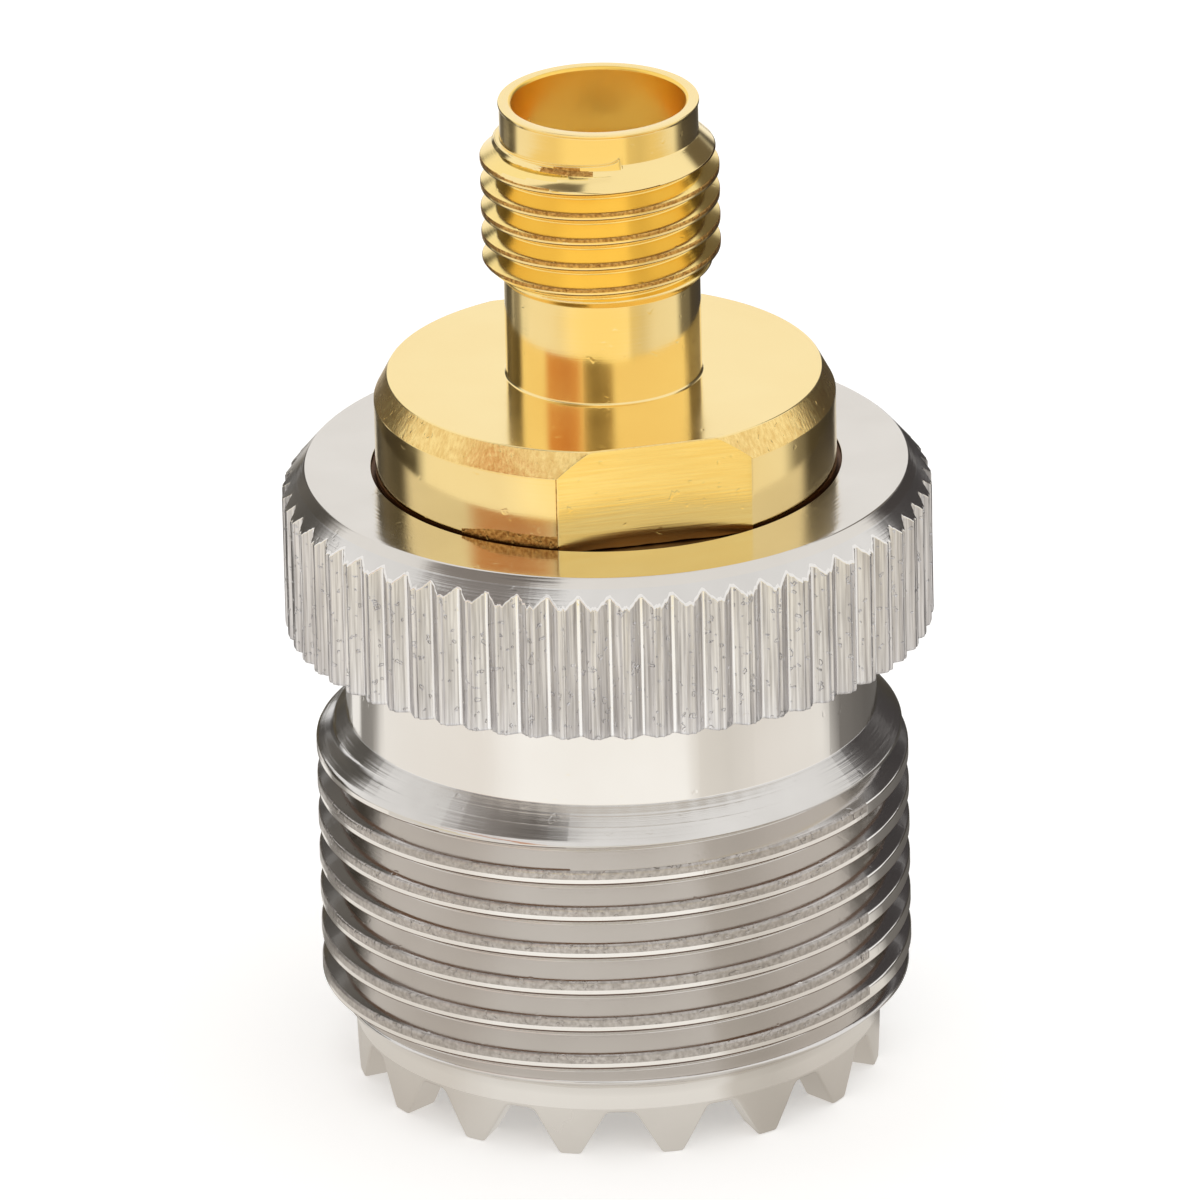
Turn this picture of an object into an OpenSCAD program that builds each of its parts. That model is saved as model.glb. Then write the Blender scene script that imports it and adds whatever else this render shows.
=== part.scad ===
// Coaxial adapter between a small threaded jack (1/4-36) and a large threaded jack (5/8-24).
// Millimetres, +Z up. The origin is on the axis, in the plane of the crown's tooth tips.
// The large jack points down and the small jack points up.

/* [Large jack, outside] */
// Diameter over the toothed crown
crown_d = 14.0; // [13.4:0.1:14.6]
// Height of a crown tooth
tooth_h = 1.22; // [0.8:0.02:1.6]
// Number of crown teeth
tooth_count = 16; // [12:1:18]
// Width of the flat on a tooth's tip
tooth_tip_w = 0.58; // [0.4:0.02:0.8]
// Angle of a crown notch between its two flanks
notch_angle = 60; // [50:1:64]
// Radius in the corners of a notch
notch_r = 0.22; // [0.1:0.02:0.26]
// Radius on the corners of a tooth's tip
tip_r = 0.12; // [0.04:0.02:0.16]
// Plain band between the notches and the cove under the thread
crown_band_h = 0.48; // [0.3:0.02:1.0]
// Root diameter at which the large thread starts
large_root_d = 15.0; // [14.8:0.05:15.3]
// Diameter over the large thread's crests
large_thread_d = 15.76; // [15.6:0.02:15.87]
// Length of the large thread with both its end chamfers
large_thread_len = 7.92; // [6:0.1:12]
// Turns per inch of the large thread
large_tpi = 24; // [20:1:24]
// Depth of the large thread
large_groove = 0.5; // [0.3:0.02:0.5]
// Width of the flat on the large thread's crests
large_crest_w = 0.34; // [0.2:0.02:0.44]
// Distance from the large thread's upper chamfer down to the middle of its first groove
large_first_groove = 0.4; // [0.1:0.02:1.0]
// Diameter of the neck above the large thread
large_neck_d = 14.1; // [13.6:0.1:14.6]
// Length of the neck above the large thread
large_neck_len = 2.49; // [1:0.1:6]

/* [Knurled flange] */
// Diameter over the knurl
flange_d = 17.2; // [16.6:0.1:22]
// Height of the flange
flange_h = 4.38; // [3.6:0.1:8]
// Width of the chamfer on the flange's upper edge
flange_chamfer_w = 0.6; // [0.4:0.05:1.0]
// Height of the chamfer on the flange's upper edge
flange_chamfer_h = 0.7; // [0.4:0.05:1.2]
// Chamfer on the flange's lower edge
flange_edge = 0.12; // [0.05:0.01:0.3]
// Number of knurl grooves
knurl_count = 64; // [40:1:80]
// Depth of a knurl groove
knurl_depth = 0.24; // [0.12:0.01:0.35]
// Width of the land left between two knurl grooves
knurl_land = 0.16; // [0.08:0.01:0.3]
// Depth of the recess in which the disc sits
seat_depth = 0.19; // [0.1:0.01:0.6]
// Gap round the disc in that recess
seat_gap = 0.15; // [0.08:0.01:0.3]

/* [Small jack, outside] */
// Diameter of the disc
disc_d = 12.2; // [11.6:0.1:13.0]
// Height of the disc
disc_h = 2.81; // [2:0.1:6]
// Width across the disc's two wrench flats
disc_flats = 11.0; // [10.6:0.1:11.4]
// Direction that one flat faces, counted from the front towards the right
flat_turn = 13.2; // [0:0.1:90]
// Width of the chamfer on the disc's upper edge
disc_chamfer_w = 0.35; // [0.1:0.05:0.5]
// Height of the chamfer on the disc's upper edge
disc_chamfer_h = 0.67; // [0.2:0.05:0.9]
// Diameter of the neck between the disc and the small thread
small_neck_d = 5.18; // [4.9:0.02:5.5]
// Length of the neck between the disc and the small thread
small_neck_len = 2.76; // [1:0.1:5]
// Diameter over the small thread's crests
small_thread_d = 6.32; // [6.2:0.01:6.35]
// Length of the small thread with both its end chamfers
small_thread_len = 3.96; // [3:0.1:9]
// Turns per inch of the small thread
small_tpi = 36; // [28:1:36]
// Depth of the small thread
small_groove = 0.36; // [0.24:0.02:0.4]
// Width of the flat on the small thread's crests
small_crest_w = 0.15; // [0.1:0.01:0.2]
// Distance from the small thread's upper chamfer down to the middle of its first groove
small_first_groove = 0.34; // [0.1:0.02:0.7]
// Diameter of the plain collar at the mouth
collar_d = 5.26; // [5.0:0.02:5.6]
// Length of the plain collar at the mouth
collar_len = 0.91; // [0.4:0.05:2.0]
// Angle of all four thread end chamfers from the axis
thread_chamfer_angle = 45; // [35:1:60]
// Angle between the flanks of both threads
thread_angle = 60; // [50:1:60]

/* [Small jack, inside] */
// Diameter of the bore that the mating plug's sleeve enters
small_bore_d = 4.6; // [4.5:0.01:4.7]
// Depth of that bore, down to the contact face
small_bore_depth = 1.9; // [1.7:0.01:2.2]
// Chamfer at the mouth
small_mouth_chamfer = 0.1; // [0.02:0.01:0.15]
// Diameter of the small insulator
small_insulator_d = 4.1; // [3.8:0.02:4.3]
// Diameter of the small contact
small_contact_d = 1.27; // [1.2:0.01:1.5]
// Depth of the small contact's end below the contact face
small_contact_recess = 0.1; // [0:0.01:0.25]
// Diameter of the hole in the small contact
small_pin_d = 0.96; // [0.92:0.01:1.0]
// Depth of the hole in the small contact
small_pin_len = 2.8; // [2.0:0.1:4.0]
// Number of slots in the small contact
small_slot_count = 4; // [2:1:6]
// Width of the slots in the small contact
small_slot_w = 0.12; // [0.08:0.01:0.16]
// Length of the slots in the small contact
small_slot_len = 2.3; // [1:0.1:2.8]
// Diameter of the tail pressed into the large contact
tail_d = 0.9; // [0.6:0.02:1.1]
// Length of the tail pressed into the large contact
tail_len = 1.1; // [0.8:0.05:1.3]
// Diameter of the spigot pressed into the flange
spigot_d = 9.0; // [7:0.1:10]

/* [Large jack, inside] */
// Diameter of the bore that the mating plug's sleeve enters
large_bore_d = 12.0; // [11.6:0.05:12.3]
// Depth of that bore, down to the insulator's face
large_bore_depth = 9.0; // [7:0.1:10]
// Chamfer at the mouth
large_mouth_chamfer = 0.15; // [0.05:0.01:0.3]
// Thickness of the large insulator
large_insulator_h = 3.6; // [3.2:0.1:4.4]
// Thickness of the large insulator's web behind the large contact
web_h = 1.2; // [0.8:0.05:1.6]
// Outer diameter of the large contact
large_contact_d = 5.6; // [5.2:0.05:6.4]
// Depth of the large contact's mouth below the tooth tips
large_contact_recess = 1.0; // [0.2:0.1:3]
// Diameter of the hole in the large contact
large_pin_d = 4.04; // [3.98:0.01:4.2]
// Thickness of the closed end of the large contact
large_contact_end = 1.4; // [1.4:0.05:2.2]
// Number of slots in the large contact
large_slot_count = 4; // [3:1:6]
// Width of the slots in the large contact
large_slot_w = 0.4; // [0.2:0.05:0.5]
// Length of the slots in the large contact
large_slot_len = 6.2; // [3:0.1:7]
// Chamfer at the large contact's mouth, inside and outside
large_contact_chamfer = 0.25; // [0.1:0.05:0.4]

/* [Fits] */
// Radial clearance of the pressed joints
press_gap = 0.02; // [0.01:0.005:0.04]

/* [Hidden] */
$fn = 60;
cut = 1; // how far a cutter runs past the surface that it opens
inch = 25.4;
arc_steps = 4;

// Heights above the tooth tips, from the bottom up
cove_z = tooth_h + crown_band_h;
cove_r = (large_root_d - crown_d) / 2;
large_thread_z = cove_z + cove_r;
large_neck_z = large_thread_z + large_thread_len;
flange_z = large_neck_z + large_neck_len;
flange_top_z = flange_z + flange_h;
disc_z = flange_top_z - seat_depth;
disc_top_z = disc_z + disc_h;
small_thread_z = disc_top_z + small_neck_len;
collar_z = small_thread_z + small_thread_len;
rim_z = collar_z + collar_len;

// Heights of the inner faces
contact_face_z = rim_z - small_bore_depth;
shoulder_z = large_bore_depth + large_insulator_h;
web_z = shoulder_z - web_h;
pin_end_z = web_z - large_contact_end;

// Run of a thread's end chamfer for a drop in radius
function chamfer_run(drop) = drop / tan(thread_chamfer_angle);

// Outline of the rings that stand for a thread: they have its section and its pitch but don't climb.
// first_z is the middle of the uppermost groove. The last groove is the one that runs out into the
// lower chamfer, which meets the crests at end_z.
module thread_grooves(crest_r, tpi, depth, crest_w, first_z, end_z) {
    pitch = inch / tpi;
    crest_half = (pitch - crest_w) / 2;
    root_half = crest_half - depth * tan(thread_angle / 2);
    open_half = crest_half + cut * tan(thread_angle / 2);
    count = ceil((first_z - end_z + crest_half) / pitch);
    for (i = [0:count - 1])
        translate([crest_r - depth, first_z - i * pitch])
            polygon([[0, -root_half], [depth + cut, -open_half], [depth + cut, open_half], [0, root_half]]);
}

// Points on an arc about c, from angle a0 to angle a1
function arc(c, r, a0, a1) =
    [for (i = [0:arc_steps]) let (a = a0 + (a1 - a0) * i / arc_steps) c + r * [cos(a), sin(a)]];

// A notch in the crown

// Half of the notch's width at the tooth tips, before the tips are rounded
notch_half_w = (PI * crown_d / tooth_count - tooth_tip_w) / 2;
flank = notch_angle / 2;
floor_c = [notch_half_w - (tooth_h - notch_r) * tan(flank) - notch_r / cos(flank), tooth_h - notch_r];
tip_c = [notch_half_w - tip_r * tan(flank) + tip_r / cos(flank), tip_r];
notch_side = concat(arc(tip_c, tip_r, 270, 180 + flank), arc(floor_c, notch_r, flank, 90));

function mirrored(points) = [for (i = [len(points) - 1:-1:0]) [-points[i][0], points[i][1]]];

module crown_notch() {
    rotate([90, 0, 90])
        linear_extrude(height = crown_d / 2 + cut)
            polygon(concat([[tip_c[0], -cut]], notch_side, mirrored(notch_side), [[-tip_c[0], -cut]]));
}

module crown_notches() {
    for (i = [0:tooth_count - 1])
        rotate([0, 0, i * 360 / tooth_count]) crown_notch();
}

// Outline of the knurl: each groove is a V between two narrow lands
knurl_step = 360 / knurl_count;
land_angle = 360 * knurl_land / (PI * flange_d);

module knurl_outline() {
    function rim_point(r, a) = [r * cos(a), r * sin(a)];
    polygon([for (i = [0:knurl_count - 1]) let (a = (i + 0.5) * knurl_step) each [
        rim_point(flange_d / 2, a - land_angle / 2),
        rim_point(flange_d / 2, a + land_angle / 2),
        rim_point(flange_d / 2 - knurl_depth, a + knurl_step / 2)
    ]]);
}

module flange() {
    r = flange_d / 2;
    intersection() {
        rotate_extrude()
            polygon([
                [0, flange_z],
                [r - flange_edge, flange_z],
                [r, flange_z + flange_edge],
                [r, flange_top_z - flange_chamfer_h],
                [r - flange_chamfer_w, flange_top_z],
                [0, flange_top_z]
            ]);
        translate([0, 0, flange_z]) linear_extrude(height = flange_h) rotate(-90) knurl_outline();
    }
}

// Barrel under the flange: crown, cove, thread with two end chamfers, neck
module large_barrel() {
    crest_r = large_thread_d / 2;
    crest_low_z = large_thread_z + chamfer_run(crest_r - large_root_d / 2);
    crest_high_z = large_neck_z - chamfer_run(crest_r - large_neck_d / 2);
    rotate_extrude()
        difference() {
            polygon(concat(
                [[0, 0], [crown_d / 2, 0]],
                arc([crown_d / 2 + cove_r, cove_z], cove_r, 180, 90),
                [
                    [crest_r, crest_low_z],
                    [crest_r, crest_high_z],
                    [large_neck_d / 2, large_neck_z],
                    [large_neck_d / 2, flange_z + cut],
                    [0, flange_z + cut]
                ]
            ));
            thread_grooves(crest_r, large_tpi, large_groove, large_crest_w,
                crest_high_z - large_first_groove, crest_low_z);
        }
}

// Everything inside the shell: mouth, plug bore, insulator bore, spigot bore and disc seat
module shell_bores() {
    spigot_bore_r = spigot_d / 2 + press_gap;
    bore_r = large_bore_d / 2;
    seat_r = disc_d / 2 + seat_gap;
    rotate_extrude()
        polygon([
            [0, -cut],
            [bore_r + large_mouth_chamfer + cut, -cut],
            [bore_r, large_mouth_chamfer],
            [bore_r, shoulder_z],
            [spigot_bore_r, shoulder_z],
            [spigot_bore_r, disc_z],
            [seat_r, disc_z],
            [seat_r, flange_top_z + cut],
            [0, flange_top_z + cut]
        ]);
}

module uhf_shell() {
    color([0.82, 0.80, 0.77])
        difference() {
            union() {
                large_barrel();
                flange();
            }
            shell_bores();
            crown_notches();
        }
}

// Disc with its chamfer and two wrench flats
module disc() {
    r = disc_d / 2;
    intersection() {
        rotate_extrude()
            polygon([
                [0, disc_z],
                [r, disc_z],
                [r, disc_top_z - disc_chamfer_h],
                [r - disc_chamfer_w, disc_top_z],
                [0, disc_top_z]
            ]);
        rotate([0, 0, flat_turn])
            translate([-disc_d / 2, -disc_flats / 2, disc_z])
                cube([disc_d, disc_flats, disc_h]);
    }
}

// Neck, thread with two end chamfers, collar
module small_barrel() {
    crest_r = small_thread_d / 2;
    crest_low_z = small_thread_z + chamfer_run(crest_r - small_neck_d / 2);
    crest_high_z = collar_z - chamfer_run(crest_r - collar_d / 2);
    rotate_extrude()
        difference() {
            polygon([
                [0, disc_top_z - cut],
                [small_neck_d / 2, disc_top_z - cut],
                [small_neck_d / 2, small_thread_z],
                [crest_r, crest_low_z],
                [crest_r, crest_high_z],
                [collar_d / 2, collar_z],
                [collar_d / 2, rim_z],
                [0, rim_z]
            ]);
            thread_grooves(crest_r, small_tpi, small_groove, small_crest_w,
                crest_high_z - small_first_groove, crest_low_z);
        }
}

module sma_shell() {
    bore_r = small_bore_d / 2;
    insulator_bore_r = small_insulator_d / 2 + press_gap;
    color([0.93, 0.72, 0.30])
        difference() {
            union() {
                small_barrel();
                disc();
                translate([0, 0, shoulder_z])
                    cylinder(d = spigot_d, h = disc_z - shoulder_z + disc_h / 2);
            }
            rotate_extrude()
                polygon([
                    [0, shoulder_z - cut],
                    [insulator_bore_r, shoulder_z - cut],
                    [insulator_bore_r, contact_face_z],
                    [bore_r, contact_face_z],
                    [bore_r, rim_z - small_mouth_chamfer],
                    [bore_r + small_mouth_chamfer + cut, rim_z + cut],
                    [0, rim_z + cut]
                ]);
        }
}

// Crossed slots that split a contact's end into fingers, cut down from the plane z = 0
module finger_slots(count, width, length, reach) {
    for (i = [0:count - 1])
        rotate([0, 0, (i + 0.5) * 360 / count])
            translate([0, -width / 2, -length]) cube([reach, width, length + cut]);
}

module sma_insulator() {
    color([0.95, 0.95, 0.93])
        translate([0, 0, shoulder_z])
            difference() {
                cylinder(d = small_insulator_d, h = contact_face_z - shoulder_z);
                translate([0, 0, -cut])
                    cylinder(d = small_contact_d + 2 * press_gap, h = contact_face_z - shoulder_z + 2 * cut);
            }
}

module sma_contact() {
    end_z = contact_face_z - small_contact_recess;
    color([0.93, 0.72, 0.30])
        difference() {
            union() {
                translate([0, 0, web_z]) cylinder(d = small_contact_d, h = end_z - web_z);
                translate([0, 0, web_z - tail_len]) cylinder(d = tail_d, h = tail_len + cut);
            }
            translate([0, 0, end_z - small_pin_len]) cylinder(d = small_pin_d, h = small_pin_len + cut);
            translate([0, 0, end_z])
                finger_slots(small_slot_count, small_slot_w, small_slot_len, small_contact_d);
        }
}

module uhf_insulator() {
    color([0.95, 0.95, 0.93])
        difference() {
            translate([0, 0, large_bore_depth])
                cylinder(d = large_bore_d - 2 * press_gap, h = large_insulator_h);
            translate([0, 0, large_bore_depth - cut])
                cylinder(d = large_contact_d + 2 * press_gap, h = web_z - large_bore_depth + cut);
            translate([0, 0, web_z - cut])
                cylinder(d = small_contact_d + 2 * press_gap, h = web_h + 2 * cut);
        }
}

module uhf_contact() {
    r = large_contact_d / 2;
    pin_r = large_pin_d / 2;
    mouth_z = large_contact_recess;
    chamfer = large_contact_chamfer;
    tail_hole_r = tail_d / 2 + press_gap;
    color([0.93, 0.72, 0.30])
        difference() {
            rotate_extrude()
                polygon([
                    [pin_r + chamfer, mouth_z],
                    [r - chamfer, mouth_z],
                    [r, mouth_z + chamfer],
                    [r, web_z],
                    [tail_hole_r, web_z],
                    [tail_hole_r, pin_end_z],
                    [pin_r, pin_end_z],
                    [pin_r, mouth_z + chamfer]
                ]);
            translate([0, 0, mouth_z])
                mirror([0, 0, 1])
                    finger_slots(large_slot_count, large_slot_w, large_slot_len, large_contact_d);
        }
}

uhf_shell();
sma_shell();
sma_insulator();
sma_contact();
uhf_insulator();
uhf_contact();
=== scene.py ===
"""Coaxial adapter: a small gold jack, a knurled nickel flange and a large nickel jack. Sizes in mm."""

import logging
import math
from dataclasses import dataclass, field
from enum import Enum, IntEnum
from typing import Any, Callable, Sequence

import bmesh
import bpy
import numpy as np
from mathutils import Euler, Matrix, Vector


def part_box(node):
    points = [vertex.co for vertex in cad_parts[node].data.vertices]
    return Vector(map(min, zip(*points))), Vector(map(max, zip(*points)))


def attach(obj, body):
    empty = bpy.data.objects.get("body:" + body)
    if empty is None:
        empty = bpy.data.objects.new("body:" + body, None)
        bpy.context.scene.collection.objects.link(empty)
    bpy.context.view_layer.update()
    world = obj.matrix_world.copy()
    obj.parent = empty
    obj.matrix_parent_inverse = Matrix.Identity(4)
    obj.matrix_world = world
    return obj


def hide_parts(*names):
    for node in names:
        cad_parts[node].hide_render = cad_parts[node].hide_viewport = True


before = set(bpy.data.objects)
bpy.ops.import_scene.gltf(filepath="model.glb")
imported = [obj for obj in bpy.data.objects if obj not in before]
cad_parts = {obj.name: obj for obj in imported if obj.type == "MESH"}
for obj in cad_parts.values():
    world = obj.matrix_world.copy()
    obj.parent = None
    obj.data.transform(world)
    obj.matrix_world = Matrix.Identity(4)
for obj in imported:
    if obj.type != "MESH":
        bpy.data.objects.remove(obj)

log = logging.getLogger("adapter")

Array = np.ndarray
Material = bpy.types.Material
Node = bpy.types.Node
Object = bpy.types.Object
Socket = bpy.types.NodeSocket
Tree = bpy.types.NodeTree

MM = 0.001
TURN = 2 * math.pi
BODY = "root"
# Haze in a plated surface: turns of the noise in a millimetre.
HAZE_PER_MM = 0.35

# Colour, nodes and objects


def linear(code: str) -> tuple[float, float, float, float]:
    """Turns an sRGB hex colour to linear.

    Args:
        code: Six hex digits, or eight with the alpha last.

    Returns:
        Linear red, green and blue, and the alpha.
    """
    parts = [int(code[i : i + 2], 16) / 255 for i in range(0, len(code), 2)]
    alpha = parts[3] if len(parts) > 3 else 1.0
    return (*[p / 12.92 if p <= 0.04045 else ((p + 0.055) / 1.055) ** 2.4 for p in parts[:3]], alpha)


def add_node(tree: Tree, kind: str, inputs: dict | None = None, /, **settings: Any) -> Node:
    """Adds a node with its settings and links.

    Args:
        tree: Node tree that gets the node.
        kind: Node type without its ShaderNode prefix, such as Math.
        inputs: Input name or number to a constant, an output socket, or a node whose first output feeds it.
        **settings: Node attributes by name.

    Returns:
        The new node.
    """
    node = tree.nodes.new("ShaderNode" + kind)
    for name, value in settings.items():
        setattr(node, name, value)
    for name, value in (inputs or {}).items():
        source = value.outputs[0] if isinstance(value, Node) else value
        if isinstance(source, Socket):
            tree.links.new(source, node.inputs[name])
        else:
            node.inputs[name].default_value = source
    return node


def new_material(name: str) -> tuple[Material, Tree, Socket]:
    """Makes an empty node material.

    Args:
        name: Name of the material.

    Returns:
        The material, its node tree and the socket of the place on the object.
    """
    material = bpy.data.materials.new(name)
    material.use_nodes = True
    material.node_tree.nodes.clear()
    return material, material.node_tree, add_node(material.node_tree, "TexCoord").outputs["Object"]


def put(name: str, data: bpy.types.ID) -> Object:
    """Makes an object and links it to the scene.

    Args:
        name: Name of the object.
        data: Its mesh or camera.

    Returns:
        The new object.
    """
    made = bpy.data.objects.new(name, data)
    bpy.context.scene.collection.objects.link(made)
    return made


# Profiles and rings


def rounded(path: Sequence[tuple[float, float, float]], steps: int = 4) -> Array:
    """Rounds the corners of an open path.

    Args:
        path: Corners as radius, height and corner radius.
        steps: Most chords in a rounded corner. A small one gets two.

    Returns:
        Points as rows of radius and height.
    """
    corners = np.array([p[:2] for p in path], float)
    chord = 0.02
    points = []
    for i, (corner, (_, _, size)) in enumerate(zip(corners, path)):
        if size <= 0 or i in (0, len(path) - 1):
            points.append(corner)
            continue
        back, ahead = corners[i - 1] - corner, corners[i + 1] - corner
        back_length, ahead_length = np.linalg.norm(back), np.linalg.norm(ahead)
        back, ahead = back / back_length, ahead / ahead_length
        half = math.acos(float(np.clip(back @ ahead, -1, 1))) / 2
        run = min(size / math.tan(half), 0.45 * back_length, 0.45 * ahead_length)
        middle = (back + ahead) / np.linalg.norm(back + ahead)
        centre = corner + middle * run / math.cos(half)
        start, end = corner + back * run - centre, corner + ahead * run - centre
        swing = math.pi - 2 * half
        for t in np.linspace(0, 1, max(2, min(steps, round(size / chord))) + 1):
            way = math.sin((1 - t) * swing) * start + math.sin(t * swing) * end
            points.append(centre + way / math.sin(swing))
    return np.array(points)


def refined(path: Array, longest: float) -> Array:
    """Splits the long chords of a path.

    Args:
        path: Points as rows of radius and height.
        longest: Longest chord to leave.

    Returns:
        The path with points added.
    """
    points = [path[:1]]
    for a, b in zip(path[:-1], path[1:]):
        parts = max(1, math.ceil(float(np.linalg.norm(b - a)) / longest))
        points.append(a + (b - a) * np.arange(1, parts + 1)[:, None] / parts)
    return np.concatenate(points)


def lower_of(first: Array, second: Array, soft: float) -> Array:
    """Takes the smaller of two values, rounded over where they meet.

    Args:
        first: One set of values.
        second: The other.
        soft: Difference below which the two blend.

    Returns:
        The smaller values.
    """
    near = np.clip(1 - np.abs(first - second) / soft, 0, 1)
    return np.minimum(first, second) - near**2 * soft / 4


def signed(angles: Array) -> Array:
    """Turns angles in radians to degrees from -180 to 180."""
    return (np.degrees(angles) + 180) % 360 - 180


class Zone(IntEnum):
    """Kind of surface that a face of a shell belongs to."""

    TURNED = 0
    FACED = 1
    THREADED = 2
    WORN = 3
    MILLED = 4
    KNURLED = 5
    BURNISHED_PAINTED_HIGHLIGHT = 6
    BORED = 7
    PAINTED_SHADE_AND_DIRT = 8
    TOP_PAINTED_SHADE = 9


class Skin:
    """Collects rings of points and the faces between them into one closed mesh.

    Angles count from the front (-Y) to the right (+X). A band runs from its first ring to its second: up on
    an outer wall, inwards on a top, down in a bore.
    """

    def __init__(self) -> None:
        """Starts an empty skin."""
        self.points: list[Array] = []
        self.faces: list[tuple[Array, Array]] = []
        self.count = 0
        self.zone = Zone.TURNED

    def add(self, radius: Any, angle: Any, height: Any) -> Array:
        """Adds points.

        Args:
            radius: Radii, in mm.
            angle: Angles, in radians.
            height: Heights, in mm.

        Returns:
            The numbers of the new points.
        """
        r, a, z = np.broadcast_arrays(radius, angle, height)
        self.points.append(np.stack([r * np.sin(a), -r * np.cos(a), z], axis=-1).reshape(-1, 3))
        numbers = np.arange(self.count, self.count + r.size)
        self.count += r.size
        return numbers

    def fill(self, corners: Array, zones: Array | None = None) -> None:
        """Adds four-cornered faces, and drops corners that repeat.

        Args:
            corners: Point numbers, one row of four for each face.
            zones: Zone number of each face, or None for the current zone.
        """
        kinds = np.full(len(corners), self.zone) if zones is None else zones
        same = corners == np.roll(corners, -1, axis=1)
        repeats = same.sum(axis=1)
        self.faces.append((corners[repeats == 0], kinds[repeats == 0]))
        short = corners[repeats == 1]
        if len(short):
            self.faces.append((short[~same[repeats == 1]].reshape(-1, 3), kinds[repeats == 1]))

    def band(self, first: Array, second: Array, zones: Array | None = None) -> None:
        """Joins two rings of the same number of points.

        Args:
            first: Ring that the surface comes from.
            second: Ring that it goes to.
            zones: Zone number of each face, or None for the current zone.
        """
        self.fill(np.stack([first, np.roll(first, -1), np.roll(second, -1), second], axis=1), zones)

    def lathe(
        self, first: Array, path: Sequence, angles: Array, zones: Sequence | None = None
    ) -> Array:
        """Carries the surface along a profile.

        Args:
            first: Ring that the surface comes from.
            path: Points as rows of radius and height, each either one number or one for each column.
            angles: Angles of the columns.
            zones: Zone numbers of the faces up to each point, or None for the current zone.

        Returns:
            The last ring.
        """
        for place, (radius, height) in enumerate(path):
            ring = self.add(radius, angles, height)
            self.band(first, ring, None if zones is None else zones[place])
            first = ring
        return first

    def stitch(
        self, first: Array, first_turns: Array, second: Array, second_turns: Array
    ) -> None:
        """Joins two rings of different numbers of points by triangles.

        Args:
            first: Ring that the surface comes from.
            first_turns: Its angles, rising from near 0.
            second: Ring that it goes to.
            second_turns: Its angles, rising from near 0.
        """
        n, m = len(first), len(second)
        one = np.concatenate([first_turns, first_turns[:1] + TURN])
        two = np.concatenate([second_turns, second_turns[:1] + TURN])
        i = j = 0
        rows = []
        while i < n or j < m:
            if j == m or (i < n and one[i + 1] <= two[j + 1]):
                rows.append((first[i], first[(i + 1) % n], second[j % m]))
                i += 1
            else:
                rows.append((first[i % n], second[(j + 1) % m], second[j]))
                j += 1
        self.faces.append((np.array(rows), np.full(len(rows), self.zone)))

    def helix(
        self, first: Array, second: Array, angles: Array, thread: "Thread", blank: Array, zone: Callable,
        whole_from: float = math.inf,
    ) -> None:
        """Fills the wall between two flat rings with rows that climb with a right-hand thread.

        Args:
            first: Lower ring.
            second: Upper ring.
            angles: Angles of the columns.
            thread: The thread.
            blank: Heights and radii of the blank that it is cut into, with its end chamfers.
            zone: Function of height, radius of the thread, whether the blank ends below it, and the thread's
                own zone, giving the zone number.
            whole_from: Height from which the blank stays whole.
        """
        merge = 0.003
        fade = 0.16
        shape = thread.profile()
        own = thread.zones(shape)
        rows, pitch = shape[:, 1], float(shape[-1, 1])
        per_turn = len(rows) - 1
        bottom, top = blank[0, 0], blank[0, -1]
        lowest = thread.start + pitch * (math.floor((bottom - thread.start) / pitch) - 2)
        step = np.arange((math.ceil((top - lowest) / pitch) + 2) * per_turn)
        base = lowest + step // per_turn * pitch + rows[step % per_turn]
        height = base[:, None] + pitch * angles[None, :] / TURN
        place = np.broadcast_to((step % per_turn)[:, None], height.shape)
        end, proud = np.interp(height, *blank), shape[place, 0]
        whole = np.clip((height - whole_from) / fade, 0, 1)
        radius = end - (end - lower_of(end, proud, thread.run_out)) * (1 - whole)
        low, high = height <= bottom + merge, height >= top - merge
        inside = ~(low | high)
        number = np.full(height.shape, -1)
        number[low] = np.broadcast_to(first, height.shape)[low]
        number[high] = np.broadcast_to(second, height.shape)[high]
        angle = np.broadcast_to(angles, height.shape)[inside]
        number[inside] = self.add(radius[inside], angle, height[inside])
        # A row's end meets the start of the row that lies one turn higher.
        wide = np.concatenate([number[:-per_turn], number[per_turn:, :1]], axis=1)
        corners = np.stack([wide[:-1, :-1], wide[:-1, 1:], wide[1:, 1:], wide[1:, :-1]], axis=-1)
        kinds = zone(height, proud, end < proud - 1e-4, own[place])[: len(corners)]
        self.fill(corners.reshape(-1, 4), kinds.reshape(-1))

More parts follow.
